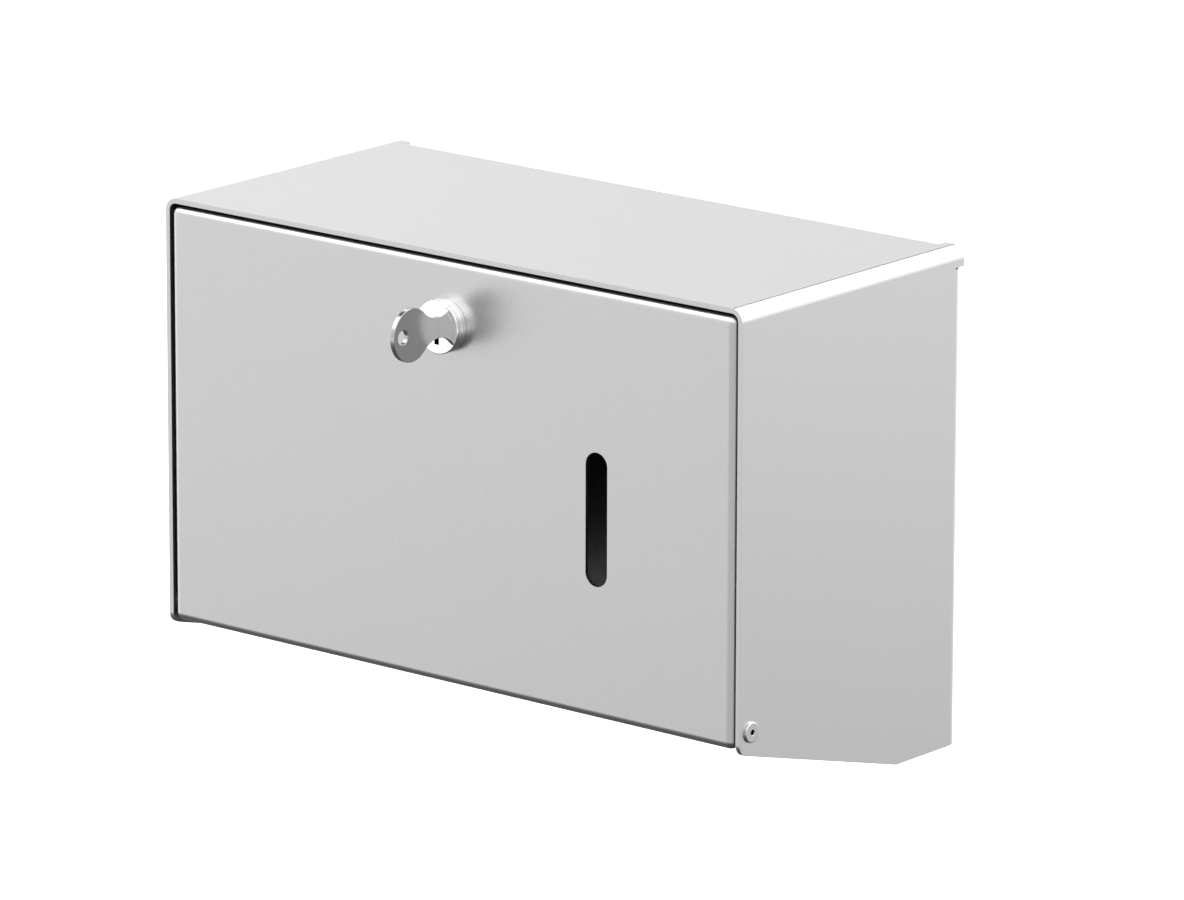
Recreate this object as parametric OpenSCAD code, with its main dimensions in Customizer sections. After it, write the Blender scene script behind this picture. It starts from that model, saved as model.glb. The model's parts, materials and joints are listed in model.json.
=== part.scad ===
// Paper towel dispenser for the wall, folded and welded from stainless sheet.
// A folded hood, a back plate and a sloping bottom tray make the case. The front is a
// pan-shaped door on two hinge rivets, with a sight slot and a cam lock and key.
// Units are millimetres. The wall is the plane Y = 0 and the front faces -Y, with Z up.
// The origin is the middle of the four wall screws, on the wall.

/* [Hood] */
// Width over the two sides
hood_w = 275; // [240:1:320]
// Height of the sides at the wall
hood_h = 188.9; // [175:0.1:240]
// Depth from the wall to the front edges
hood_d = 129.5; // [120:0.5:160]
// Thickness of the hood's sheet
hood_t = 2; // [1.2:0.1:2.4]
// Inside radius of the hood's bends
hood_bend_r = 3; // [1.5:0.5:4]
// Angle by which the bottom rises towards the front, in degrees
slope_angle = 15; // [10:1:20]
// Depth of the level part of the bottom, next to the wall
level_d = 37; // [30:1:50]
// Radius of the lower front corner of each side
side_corner_r = 4.5; // [2:0.5:6]
// Width of the flanges that are turned in at the wall
rear_flange_w = 16; // [12:1:22]
// Width of the unbent ear at each upper wall corner, along the top
ear_w = 8.8; // [8:0.1:12]
// Height of the same ear, down the side
ear_h = 7.7; // [7:0.1:12]
// Gap cut beside each ear, so that the flanges can be bent
relief_gap = 0.6; // [0.4:0.1:1.5]

/* [Back plate] */
// Thickness of the back plate
back_t = 2; // [1.2:0.1:2.5]
// Distance of the screws from each other, across
screw_pitch_x = 180; // [120:5:200]
// Distance of the screws from each other, up and down
screw_pitch_z = 110; // [80:5:120]
// Distance from the top of the hood down to the middle of the screws
screw_drop = 90; // [80:1:100]
// Diameter of the screw holes
screw_hole_d = 6; // [4:0.5:8]
// Diameter of the pads that are pressed out to the wall round the screws
pad_d = 20; // [16:1:24]

/* [Bottom tray] */
// Thickness of the tray's sheet
tray_t = 1.5; // [1:0.1:2]
// Inside radius of the tray's bends
tray_bend_r = 1.5; // [1:0.1:2.5]
// Height of the tray above the lower edges of the sides
tray_inset = 2.5; // [0.5:0.1:3]
// Height of the flanges that are welded to the sides
tray_flange_h = 10; // [8:1:16]
// Height of the flange that is riveted to the back plate
tray_upstand_h = 20; // [16:1:30]
// Width of the opening that the towels are drawn from
exit_w = 200; // [150:5:220]
// Length of the same opening, along the slope
exit_l = 46; // [35:1:55]
// Distance from the bend of the tray to that opening
exit_back = 12; // [8:1:18]
// Radius of the corners of that opening
exit_corner_r = 14; // [8:1:16]
// Diameter of the rivets that hold the tray to the back plate
tray_rivet_d = 3.2; // [2.4:0.1:4]

/* [Door] */
// Thickness of the door's sheet
door_t = 1.5; // [1:0.1:2]
// Outside radius of the door's edges and corners
door_edge_r = 3.2; // [2.4:0.1:4]
// Depth of the door over its flanges
door_d = 12; // [11:0.5:14]
// Gap between the door and each side of the hood
door_gap_side = 0.8; // [0.7:0.1:1.5]
// Gap between the door and the top of the hood
door_gap_top = 0.9; // [0.5:0.1:2]
// Distance by which the door stands out in front of the hood
door_proud = 0.5; // [0:0.1:1]
// Height of the door's lower edge above the lower front corner of the sides
door_toe = 1; // [0.8:0.05:3]
// Width of the sight slot
sight_w = 10; // [6:1:16]
// Length of the sight slot over its round ends
sight_h = 50; // [30:1:70]
// Distance of the sight slot from the middle of the door
sight_x = 71.2; // [50:0.1:90]
// Distance from the top of the hood down to the middle of the sight slot
sight_drop = 88.2; // [75:0.1:100]

/* [Hinge] */
// Distance of the hinge line behind the face of the door
hinge_back = 6.8; // [6.4:0.1:7.2]
// Distance of the hinge line above the lower edge of the door
hinge_up = 6.4; // [5.6:0.1:6.8]
// Diameter of the hinge rivets
rivet_d = 4; // [3:0.1:4.2]
// Diameter of the rivets' outer heads
rivet_head_d = 8.2; // [7:0.1:9]
// Height of the rivets' outer heads
rivet_head_h = 1; // [0.6:0.1:1.4]
// Diameter of the hole left by the rivets' mandrels
mandrel_d = 2.3; // [1.5:0.1:2.5]
// Diameter of the rivets' swollen inner ends
rivet_tail_d = 5.8; // [5.6:0.1:6.2]
// Running clearance round the hinge rivets, on the radius
hinge_play = 0.06; // [0.02:0.01:0.1]
// Diameter of the spacer washers
spacer_d = 8; // [6:0.5:10]
// Thickness of the spacer washers
spacer_t = 0.6; // [0.4:0.1:0.6]
// Room between the swinging door and the front edge of the tray
swing_clear = 0.2; // [0.1:0.1:1]

/* [Lock] */
// Distance from the top of the hood down to the middle of the lock
lock_drop = 27.2; // [26:0.1:34]
// Diameter of the lock's head
lock_head_d = 20; // [19:0.5:26]
// Height of the lock's head in front of the door
lock_head_l = 5; // [4:0.5:8]
// Width of the bevel round the lock's head
lock_bevel = 0.4; // [0.2:0.1:1]
// Diameter of the lock's barrel
barrel_d = 18; // [17.5:0.5:18.5]
// Distance between the two flats of the barrel
barrel_flats = 16; // [15.5:0.5:17]
// Length of the barrel behind the face of the door
barrel_l = 16; // [15:0.5:18]
// Diameter of the turning plug
plug_d = 14; // [13:0.5:14.5]
// Diameter of the plug's head
plug_head_d = 16; // [15.5:0.5:17]
// Length of the plug's head
plug_head_l = 1.5; // [1:0.1:2.5]
// Width over the flats of the nut on the barrel
nut_flats = 24; // [22:1:26]
// Thickness of the nut on the barrel
nut_l = 4; // [3:0.5:5]
// Diameter of the tooth washer under that nut
washer_d = 24; // [23:0.5:27]
// Thickness of the tooth washer
washer_t = 0.6; // [0.4:0.1:1]
// Width of the mouth of the keyhole
keyhole_w = 2.2; // [2.2:0.1:3]
// Distance from the middle of the lock down to the end of the mouth of the keyhole
keyhole_drop = 6.4; // [5:0.1:6.5]
// Depth of the mouth of the keyhole
keyhole_l = 2.6; // [0.6:0.1:2.8]
// Thickness of the key's wafers in the plug
wafer_t = 1; // [0.8:0.1:1.2]
// Distance from one wafer to the next
wafer_pitch = 2.4; // [2.2:0.1:2.6]
// Number of wafers
wafer_count = 5; // [3:1:5]

/* [Cam and catch] */
// Length of the cam from the lock's middle to its tip
cam_l = 22; // [20:0.5:22]
// Width of the cam's arm
cam_w = 12; // [8:1:14]
// Thickness of the cam
cam_t = 2; // [1.5:0.1:3]
// Diameter of the cam round the plug's tail
cam_hub_d = 16; // [14:1:18]
// Width of the plug's square tail
tail_w = 6; // [5:0.1:6.4]
// Diameter of the stud at the end of the plug
stud_d = 5; // [4:0.5:5.5]
// Width over the flats of the cam's nut
cam_nut_flats = 8; // [7:1:10]
// Thickness of the cam's nut
cam_nut_l = 4; // [3:0.5:5]
// Thickness of the cam's washer
cam_washer_t = 0.8; // [0.5:0.1:1.2]
// Play between the locked cam and the catch
catch_play = 0.6; // [0.4:0.1:1]
// Width of the catch
catch_w = 40; // [30:1:60]
// Height of the catch's hanging leg
catch_h = 13; // [11:0.5:13]
// Length of the catch's welded leg
catch_l = 14; // [10:1:20]
// Thickness of the catch's sheet
catch_t = 1.5; // [1.2:0.1:2]

/* [Buffers] */
// Height of the rubber buffers
buffer_h = 20; // [12:1:30]
// Depth of the rubber buffers
buffer_d = 6; // [4:0.5:10]
// Width by which the rubber buffers stand in from the sides
buffer_w = 7; // [5:0.5:10]
// Distance from the top of the hood down to the top of the buffers
buffer_drop = 12; // [10:1:40]
// Gap between the buffers and the closed door
buffer_gap = 0.3; // [0.1:0.1:0.6]

/* [Key] */
// Thickness of the key
key_t = 2; // [1.6:0.1:2]
// Radius of the key's bow
key_bow_r = 10; // [9:0.5:12]
// Distance from the lock's face to the middle of the bow
key_reach = 14.8; // [14:0.1:20]
// Height of the key's blade
key_blade_h = 7.8; // [6.5:0.1:8]
// Length of the blade inside the lock
key_blade_l = 17; // [15:0.5:17.5]
// Depth of the deepest cut in the lower edge of the blade
key_cut = 2; // [1:0.1:2.5]
// Diameter of the hole for a key ring
key_hole_d = 5.5; // [4:0.5:6.5]
// Distance from the middle of the bow out to that hole
key_hole_out = 5; // [4:0.1:6]

/* [Fits] */
// Clearance round pieces that are held or guided
fit_gap = 0.05; // [0.02:0.01:0.08]
// Clearance beside sheets that lie next to each other
sheet_gap = 0.5; // [0.3:0.1:1]

/* [Hidden] */
$fn = 64;

// Distance by which a shape reaches past or into another that it cuts or joins
past = 1;

// Bends of the hood, tray and catch, on the outside
hood_bend_o = hood_bend_r + hood_t;
tray_bend_o = tray_bend_r + tray_t;
catch_bend_r = catch_t;
catch_bend_o = catch_bend_r + catch_t;

// Heights
top_z = screw_drop;
bottom_z = top_z - hood_h;
front_bottom_z = bottom_z + (hood_d - level_d) * tan(slope_angle);
under_top_z = top_z - hood_t;

// Depths and widths
front_y = -hood_d;
inside_w = hood_w - 2 * hood_t;
plate_face_y = -hood_t - back_t;
plate_w = hood_w - 2 * (hood_bend_o + sheet_gap);
plate_top_z = top_z - hood_bend_o - sheet_gap;
plate_bottom_z = bottom_z + tray_inset;

// The door and its hinge line
door_face_y = front_y - door_proud;
door_back_y = door_face_y + door_d;
door_inner_y = door_face_y + door_t;
door_w = inside_w - 2 * door_gap_side;
door_top_z = under_top_z - door_gap_top;
door_bottom_z = front_bottom_z + door_toe;
door_h = door_top_z - door_bottom_z;
door_mid_z = (door_top_z + door_bottom_z) / 2;
hinge_y = door_face_y + hinge_back;
hinge_z = door_bottom_z + hinge_up;
bore_r = rivet_d / 2 + hinge_play;

// The tray's bend, and the way from there up the slope to its front edge, which stays
// outside the circle that the door's lower edge sweeps round the hinge line
tray_rise = tray_inset + tray_t;
kink_y = -level_d + tray_rise * tan(slope_angle / 2);
kink_z = bottom_z + tray_rise;
flange_sweep_r = norm([door_d - hinge_back, hinge_up]);
edge_sweep_r = norm([hinge_back - door_edge_r, hinge_up - door_edge_r]) + door_edge_r;
sweep_r = max(flange_sweep_r, edge_sweep_r) + swing_clear;
hinge_along = (kink_y - hinge_y) * cos(slope_angle) + (hinge_z - kink_z) * sin(slope_angle);
hinge_above = (hinge_y - kink_y) * sin(slope_angle) + (hinge_z - kink_z) * cos(slope_angle);
tray_reach = hinge_along - sqrt(max(0, sweep_r * sweep_r - hinge_above * hinge_above));
tray_relief = 2.5;
tray_lip = 6;
tray_flange_reach = min(hinge_along - sweep_r - sheet_gap, tray_reach - tray_relief - tray_lip);
upstand_in = 15;
rivet_share = 0.65;
tray_w = inside_w - 2 * fit_gap;
tray_rear_y = plate_face_y;
upstand_w = inside_w - 2 * upstand_in;
tray_rivet_x = [for (i = [-3:2:3]) i / 3 * (screw_pitch_x / 2 - pad_d)];
tray_rivet_z = kink_z + tray_upstand_h * rivet_share;

// The lock, from its face to the end of its stud
stud_over = 1;
tail_short = 0.3;
keyway_spare = 0.5;
lock_z = top_z - lock_drop;
lock_face_y = door_face_y - lock_head_l;
barrel_end_y = door_face_y + barrel_l;
cam_front_y = barrel_end_y + fit_gap;
cam_back_y = cam_front_y + cam_t;
cam_nut_y = cam_back_y + cam_washer_t;
stud_end_y = cam_nut_y + cam_nut_l + stud_over;
tail_end_y = cam_back_y - tail_short;
washer_back_y = door_inner_y + washer_t;
nut_back_y = washer_back_y + nut_l;
plug_r = plug_d / 2;
plug_head_r = plug_head_d / 2;
keyway_end_y = lock_face_y + key_blade_l + keyway_spare;

// The wafers, the first of them a little behind the plug's head
wafer_start = 1.6;
wafer_in = 0.7;
wafer_y = [for (i = [0:wafer_count - 1])
    lock_face_y + plug_head_l + wafer_start + i * wafer_pitch];
wafer_w = 5;
wafer_h = plug_d - 2 * wafer_in;

// The key's cuts, from the lock's face inwards, each as a share of the deepest. They are
// wider than the wafers by a little room, and the blade ends in a bevelled point
cut_room = 0.25;
key_point = 1.5;
cut_share = [0.3, 0.8, 0.5, 1, 0.2];
cut_depth = [for (i = [0:wafer_count - 1]) key_cut * cut_share[i]];

// The catch stands in front of the locked cam
catch_back_y = cam_front_y - catch_play;
catch_front_y = catch_back_y - catch_t;

// The key's necks are arcs that touch the bow and end level with the blade
neck_half = key_blade_h / 2;
neck_r = (key_reach * key_reach + neck_half * neck_half - key_bow_r * key_bow_r)
    / (2 * (key_bow_r - neck_half));
bow_y = lock_face_y - key_reach;
neck_start = key_bow_r * key_reach / (key_bow_r + neck_r);
neck_start_half = key_bow_r * (neck_half + neck_r) / (key_bow_r + neck_r);

steel = [0.80, 0.80, 0.79];
bright = [0.90, 0.90, 0.90];
dark_steel = [0.62, 0.62, 0.62];
brass = [0.78, 0.66, 0.36];
nylon = [0.92, 0.91, 0.87];
rubber = [0.10, 0.10, 0.10];

// Extrudes an outline drawn in Y and Z along X
module along_x(x0, x1) {
    translate([x0, 0, 0])
        rotate([90, 0, 90])
            linear_extrude(x1 - x0)
                children();
}

// Extrudes an outline drawn in X and Z along Y
module along_y(y0, y1) {
    translate([0, y1, 0])
        rotate([90, 0, 0])
            linear_extrude(y1 - y0)
                children();
}

// Extrudes an outline drawn in X and Y along Z
module along_z(z0, z1) {
    translate([0, 0, z0])
        linear_extrude(z1 - z0)
            children();
}

// A box between two corners
module block(low, high) {
    translate(low)
        cube(high - low);
}

// Draws its children twice, the second time mirrored to the other side of the middle
module both_sides() {
    children();
    mirror([1, 0, 0])
        children();
}

// A quarter of a ring, in the corner where both coordinates are positive
module quarter_ring(inner, outer) {
    intersection() {
        difference() {
            circle(outer);
            circle(inner);
        }
        square(outer);
    }
}

// A sheet turned through a right angle: a quarter ring and a leg that goes on from it.
// The bend's middle is the origin, the leg lies along -X at the top
module bend_and_leg(inner, outer, leg) {
    quarter_ring(inner, outer);
    translate([-leg, inner])
        square([leg, outer - inner]);
}

// The side of the case, in Y and Z, with its lower front corner rounded
module side_outline() {
    arc_y = front_y + side_corner_r;
    arc_z = front_bottom_z + side_corner_r * (1 - sin(slope_angle)) / cos(slope_angle);
    difference() {
        polygon([
            [front_y, top_z], [0, top_z], [0, bottom_z],
            [-level_d, bottom_z], [front_y, front_bottom_z]
        ]);
        difference() {
            polygon([
                [front_y - past, arc_z], [arc_y, arc_z],
                [arc_y - side_corner_r * sin(slope_angle), arc_z - side_corner_r * cos(slope_angle)],
                [front_y, front_bottom_z - past], [front_y - past, front_bottom_z - past]
            ]);
            translate([arc_y, arc_z])
                circle(side_corner_r);
        }
    }
}

// The front view of a folded top and sides, in X and Z, from the top down to a height
module hood_front(width, top, bottom, r) {
    translate([-width / 2, bottom])
        square([width, top - r - bottom]);
    translate([-width / 2 + r, bottom])
        square([width - 2 * r, top - bottom]);
    for (side = [-1, 1])
        translate([side * (width / 2 - r), top - r])
            circle(r);
}

module rear_flanges() {
    mitre = hood_w / 2 - sheet_gap / 2;
    flange_edge = hood_w / 2 - rear_flange_w;
    top_half = hood_w / 2 - ear_w - relief_gap;
    intersection() {
        along_x(-top_half, top_half)
            translate([-hood_bend_o, top_z - hood_bend_o])
                rotate(-90)
                    mirror([1, 0])
                        bend_and_leg(hood_bend_r, hood_bend_o, rear_flange_w - hood_bend_o);
        along_y(-hood_bend_o - past, past)
            polygon([
                [-mitre, top_z], [mitre, top_z],
                [mitre - rear_flange_w - past, top_z - rear_flange_w - past],
                [-mitre + rear_flange_w + past, top_z - rear_flange_w - past]
            ]);
    }
    both_sides()
        intersection() {
            along_z(bottom_z, top_z - ear_h - relief_gap)
                translate([hood_w / 2 - hood_bend_o, -hood_bend_o])
                    bend_and_leg(hood_bend_r, hood_bend_o, rear_flange_w - hood_bend_o);
            along_y(-hood_bend_o - past, past)
                polygon([
                    [hood_w / 2 + past, top_z - sheet_gap / 2],
                    [hood_w / 2 + past, bottom_z - past],
                    [flange_edge - past, bottom_z - past],
                    [flange_edge - past, top_z - sheet_gap / 2 - rear_flange_w - 2 * past]
                ]);
        }
}

module hood() {
    color(steel)
        difference() {
            union() {
                difference() {
                    intersection() {
                        along_y(front_y, 0)
                            difference() {
                                hood_front(hood_w, top_z, bottom_z - past, hood_bend_o);
                                hood_front(inside_w, under_top_z, bottom_z - 2 * past, hood_bend_r);
                            }
                        along_x(-hood_w, hood_w)
                            side_outline();
                    }
                    block([-hood_w / 2 + ear_w, -hood_bend_o, bottom_z - past],
                          [hood_w / 2 - ear_w, past, top_z + past]);
                    block([-hood_w / 2 - past, -hood_bend_o, bottom_z - past],
                          [hood_w / 2 + past, past, top_z - ear_h]);
                }
                rear_flanges();
            }
            both_sides()
                along_x(inside_w / 2 - past, hood_w / 2 + past)
                    translate([hinge_y, hinge_z])
                        circle(rivet_d / 2 + fit_gap);
        }
}

module at_screws() {
    for (x = [-1, 1], z = [-1, 1])
        translate([x * screw_pitch_x / 2, 0, z * screw_pitch_z / 2])
            children();
}

module back_plate() {
    color(steel)
        difference() {
            union() {
                block([-plate_w / 2, plate_face_y, plate_bottom_z],
                      [plate_w / 2, -hood_t, plate_top_z]);
                at_screws()
                    along_y(-hood_t, 0)
                        circle(pad_d / 2);
            }
            at_screws()
                along_y(plate_face_y - past, plate_face_y + hood_t)
                    circle(pad_d / 2 - back_t);
            at_screws()
                along_y(plate_face_y - past, past)
                    circle(screw_hole_d / 2);
            for (x = tray_rivet_x)
                translate([x, 0, tray_rivet_z])
                    along_y(plate_face_y - past, past)
                        circle(tray_rivet_d / 2 + fit_gap);
        }
}

// Puts a piece drawn level on the tray's slope, with the bend at the origin
module on_slope() {
    translate([0, kink_y, kink_z])
        rotate([-slope_angle, 0, 0])
            children();
}

// The tray's sheet with both side flanges bent up, seen from the front, in X and Z
module tray_channel() {
    bend_x = tray_w / 2 - tray_bend_o;
    translate([-bend_x, -tray_t])
        square([2 * bend_x, tray_t]);
    for (flip = [0, 1])
        mirror([flip, 0]) {
            translate([bend_x, tray_bend_r])
                rotate(-90)
                    quarter_ring(tray_bend_r, tray_bend_o);
            translate([tray_w / 2 - tray_t, tray_bend_r])
                square([tray_t, tray_flange_h - tray_bend_r]);
        }
}

// The tray's section from its front edge down the slope, round its bend and back level
// to a depth, in Y and Z
module tray_section(rear_y) {
    translate([kink_y, kink_z]) {
        rotate(-slope_angle)
            translate([-tray_reach, -tray_t])
                square([tray_reach, tray_t]);
        intersection() {
            circle(tray_t);
            polygon([
                [0, 0], [0, -2 * tray_t],
                [-2 * tray_t * sin(slope_angle), -2 * tray_t * cos(slope_angle)]
            ]);
        }
        translate([0, -tray_t])
            square([rear_y - kink_y, tray_t]);
    }
}

module bottom_tray() {
    slab_half = tray_w / 2 - tray_bend_o;
    color(steel)
        difference() {
            union() {
                along_x(-slab_half, slab_half)
                    tray_section(tray_rear_y - tray_bend_o);
                on_slope() {
                    block([-inside_w / 2 + sheet_gap, -tray_reach, -tray_t],
                          [inside_w / 2 - sheet_gap, -tray_flange_reach - tray_relief, 0]);
                    along_y(-tray_flange_reach, -tray_relief)
                        tray_channel();
                }
                translate([0, 0, kink_z])
                    along_y(kink_y + tray_relief, -hood_bend_o - sheet_gap)
                        tray_channel();
                along_x(-upstand_w / 2, upstand_w / 2)
                    translate([tray_rear_y - tray_bend_o, kink_z + tray_bend_r])
                        rotate(-90)
                            quarter_ring(tray_bend_r, tray_bend_o);
                block([-upstand_w / 2, tray_rear_y - tray_t, kink_z + tray_bend_r],
                      [upstand_w / 2, tray_rear_y, kink_z + tray_upstand_h]);
            }
            on_slope()
                exit_cut();
            for (x = tray_rivet_x)
                translate([x, 0, tray_rivet_z])
                    along_y(tray_rear_y - tray_t - past, tray_rear_y + past)
                        circle(tray_rivet_d / 2 + fit_gap);
        }
}

// The opening that the towels are drawn from, with round corners
module exit_cut() {
    half_w = exit_w / 2 - exit_corner_r;
    low_y = -exit_back - exit_l + exit_corner_r;
    high_y = -exit_back - exit_corner_r;
    along_z(-tray_t - past, past) {
        translate([-exit_w / 2, low_y])
            square([exit_w, high_y - low_y]);
        translate([-half_w, -exit_back - exit_l])
            square([2 * half_w, exit_l]);
        for (x = [-half_w, half_w], y = [low_y, high_y])
            translate([x, y])
                circle(exit_corner_r);
    }
}

// A blind rivet along X: a domed head at the origin, a shank that goes on to -X and
// a swollen end there, with the hole of its mandrel
module blind_rivet(shank_d, head_d, head_h, hole_d, grip, tail_d, tail_l) {
    dome_r = (head_d * head_d / 4 + head_h * head_h) / (2 * head_h);
    rotate([0, 90, 0])
        rotate_extrude()
            difference() {
                union() {
                    intersection() {
                        translate([0, head_h - dome_r])
                            circle(dome_r);
                        square([head_d / 2, head_h]);
                    }
                    translate([0, -grip - tail_l])
                        square([shank_d / 2, grip + tail_l]);
                    translate([0, -grip - tail_l])
                        square([tail_d / 2 - tail_l / 3, tail_l]);
                    translate([0, -grip - tail_l * 2 / 3])
                        square([tail_d / 2, tail_l * 2 / 3]);
                    translate([tail_d / 2 - tail_l / 3, -grip - tail_l * 2 / 3])
                        circle(tail_l / 3);
                }
                translate([-past, -grip / 2])
                    square([past + hole_d / 2, grip + head_h]);
                translate([-dome_r * 2, -dome_r * 4])
                    square([dome_r * 2, dome_r * 8]);
            }
}

module tray_rivets() {
    color(dark_steel)
        for (x = tray_rivet_x)
            translate([x, -hood_t, tray_rivet_z])
                rotate([0, 0, 90])
                    blind_rivet(tray_rivet_d, 2 * tray_rivet_d, hood_t / 2, tray_rivet_d / 2,
                                back_t + tray_t, 1.5 * tray_rivet_d, 1.5);
}

module catch_bracket() {
    leg_top_z = under_top_z - catch_bend_o;
    leg_bottom_z = under_top_z - catch_h;
    corner_r = 3;
    corner_x = catch_w / 2 - corner_r;
    color(steel) {
        along_x(-catch_w / 2, catch_w / 2)
            translate([catch_front_y + catch_bend_o, leg_top_z]) {
                mirror([1, 0])
                    quarter_ring(catch_bend_r, catch_bend_o);
                translate([0, catch_bend_r])
                    square([catch_l - catch_bend_o, catch_t]);
            }
        along_y(catch_front_y, catch_back_y) {
            translate([-catch_w / 2, leg_bottom_z + corner_r])
                square([catch_w, leg_top_z - leg_bottom_z - corner_r]);
            translate([-corner_x, leg_bottom_z])
                square([2 * corner_x, leg_top_z - leg_bottom_z]);
            for (x = [-corner_x, corner_x])
                translate([x, leg_bottom_z + corner_r])
                    circle(corner_r);
        }
    }
}

module buffer() {
    corner_r = 1.5;
    buffer_y = door_back_y + buffer_gap;
    buffer_top_z = top_z - buffer_drop;
    side_x = inside_w / 2;
    color(rubber)
        along_z(buffer_top_z - buffer_h, buffer_top_z) {
            translate([side_x - buffer_w + corner_r, buffer_y])
                square([buffer_w - corner_r, buffer_d]);
            translate([side_x - buffer_w, buffer_y + corner_r])
                square([buffer_w, buffer_d - 2 * corner_r]);
            for (y = [corner_r, buffer_d - corner_r])
                translate([side_x - buffer_w + corner_r, buffer_y + y])
                    circle(corner_r);
        }
}

module buffer_left() {
    mirror([1, 0, 0])
        buffer();
}

module buffer_right() {
    buffer();
}

module hinge_rivet() {
    tail_gap = 0.15;
    tail_l = 1.6;
    flange_inner_x = door_w / 2 - door_t;
    color(dark_steel)
        translate([hood_w / 2, hinge_y, hinge_z])
            blind_rivet(rivet_d, rivet_head_d, rivet_head_h, mandrel_d,
                        hood_w / 2 - flange_inner_x + tail_gap, rivet_tail_d, tail_l);
}

module hinge_rivet_left() {
    mirror([1, 0, 0])
        hinge_rivet();
}

module hinge_rivet_right() {
    hinge_rivet();
}

module hinge_spacer() {
    middle_x = inside_w / 2 - door_gap_side / 2;
    color(nylon)
        along_x(middle_x - spacer_t / 2, middle_x + spacer_t / 2)
            translate([hinge_y, hinge_z])
                difference() {
                    circle(spacer_d / 2);
                    circle(rivet_d / 2 + fit_gap);
                }
}

module hinge_spacer_left() {
    mirror([1, 0, 0])
        hinge_spacer();
}

module hinge_spacer_right() {
    hinge_spacer();
}

// The door's sheet: a flat face, a bend along each edge, a flange behind each bend and
// round corners, each made once and mirrored
module door_pan() {
    half_w = door_w / 2 - door_edge_r;
    half_h = door_h / 2 - door_edge_r;
    inner_r = door_edge_r - door_t;
    block([-half_w, 0, -half_h], [half_w, door_t, half_h]);
    for (flip = [0, 1])
        mirror([0, 0, flip]) {
            along_x(-half_w, half_w)
                translate([door_edge_r, half_h])
                    mirror([1, 0])
                        quarter_ring(inner_r, door_edge_r);
            block([-half_w, door_edge_r, half_h + inner_r],
                  [half_w, door_d, half_h + door_edge_r]);
            both_sides() {
                along_y(door_edge_r, door_d)
                    translate([half_w, half_h])
                        quarter_ring(inner_r, door_edge_r);
                translate([half_w, door_edge_r, half_h])
                    mirror([0, 1, 0])
                        rotate_extrude(angle = 90)
                            quarter_ring(inner_r, door_edge_r);
            }
        }
    both_sides() {
        along_z(-half_h, half_h)
            translate([half_w, door_edge_r])
                mirror([0, 1])
                    quarter_ring(inner_r, door_edge_r);
        block([half_w + inner_r, door_edge_r, -half_h],
              [half_w + door_edge_r, door_d, half_h]);
    }
}

// The outline of the lock's barrel, with its two flats, grown by a clearance
module barrel_outline(gap) {
    intersection() {
        circle(barrel_d / 2 + gap);
        square([barrel_flats + 2 * gap, barrel_d + 2 * past], center = true);
    }
}

module front_door() {
    sight_z = top_z - sight_drop;
    sight_half = (sight_h - sight_w) / 2;
    color(steel)
        difference() {
            translate([0, door_face_y, door_mid_z])
                door_pan();
            along_y(door_face_y - past, door_inner_y + past)
                translate([0, lock_z])
                    barrel_outline(fit_gap);
            along_y(door_face_y - past, door_inner_y + past)
                translate([sight_x, sight_z]) {
                    square([sight_w, 2 * sight_half], center = true);
                    for (z = [-sight_half, sight_half])
                        translate([0, z])
                            circle(sight_w / 2);
                }
            both_sides()
                along_x(door_w / 2 - door_t - past, door_w / 2 + past)
                    translate([hinge_y, hinge_z])
                        circle(bore_r);
        }
}

// Turns a profile of radius and depth round the lock's axis. Depth 0 is the lock's face
module turned() {
    translate([0, lock_face_y, lock_z])
        rotate([-90, 0, 0])
            rotate_extrude()
                children();
}

module lock_housing() {
    head_r = lock_head_d / 2;
    color(bright)
        difference() {
            union() {
                turned()
                    polygon([
                        [0, 0], [head_r - lock_bevel, 0], [head_r, lock_bevel],
                        [head_r, lock_head_l], [0, lock_head_l]
                    ]);
                along_y(door_face_y, barrel_end_y)
                    translate([0, lock_z])
                        barrel_outline(0);
            }
            along_y(lock_face_y - past, lock_face_y + plug_head_l + fit_gap)
                translate([0, lock_z])
                    circle(plug_head_r + fit_gap);
            along_y(lock_face_y - past, barrel_end_y + past)
                translate([0, lock_z])
                    circle(plug_r + fit_gap);
        }
}

module lock_washer() {
    teeth = 16;
    notch_w = 1.2;
    notch_l = 1;
    color(dark_steel)
        along_y(door_inner_y, washer_back_y)
            translate([0, lock_z])
                difference() {
                    circle(washer_d / 2);
                    circle(barrel_d / 2 + fit_gap);
                    for (i = [0:teeth - 1])
                        rotate(360 * i / teeth)
                            translate([washer_d / 2 - notch_l, -notch_w / 2])
                                square([notch_l + past, notch_w]);
                }
}

// A hexagon nut on the lock's axis with both faces chamfered, between two depths
module hex_nut(flats, hole_d, y0, y1) {
    chamfer = 0.2;
    corner_r = flats / 2 / cos(30);
    face_r = flats / 2 - chamfer;
    rise = (corner_r - face_r) * tan(30);
    difference() {
        intersection() {
            along_y(y0, y1)
                translate([0, lock_z])
                    circle(corner_r, $fn = 6);
            translate([0, y0, lock_z])
                rotate([-90, 0, 0])
                    rotate_extrude()
                        polygon([
                            [0, 0], [face_r, 0], [corner_r, rise],
                            [corner_r, y1 - y0 - rise], [face_r, y1 - y0], [0, y1 - y0]
                        ]);
        }
        along_y(y0 - past, y1 + past)
            translate([0, lock_z])
                circle(hole_d / 2 + fit_gap);
    }
}

module lock_nut() {
    color(bright)
        hex_nut(nut_flats, barrel_d, washer_back_y, nut_back_y);
}

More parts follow.
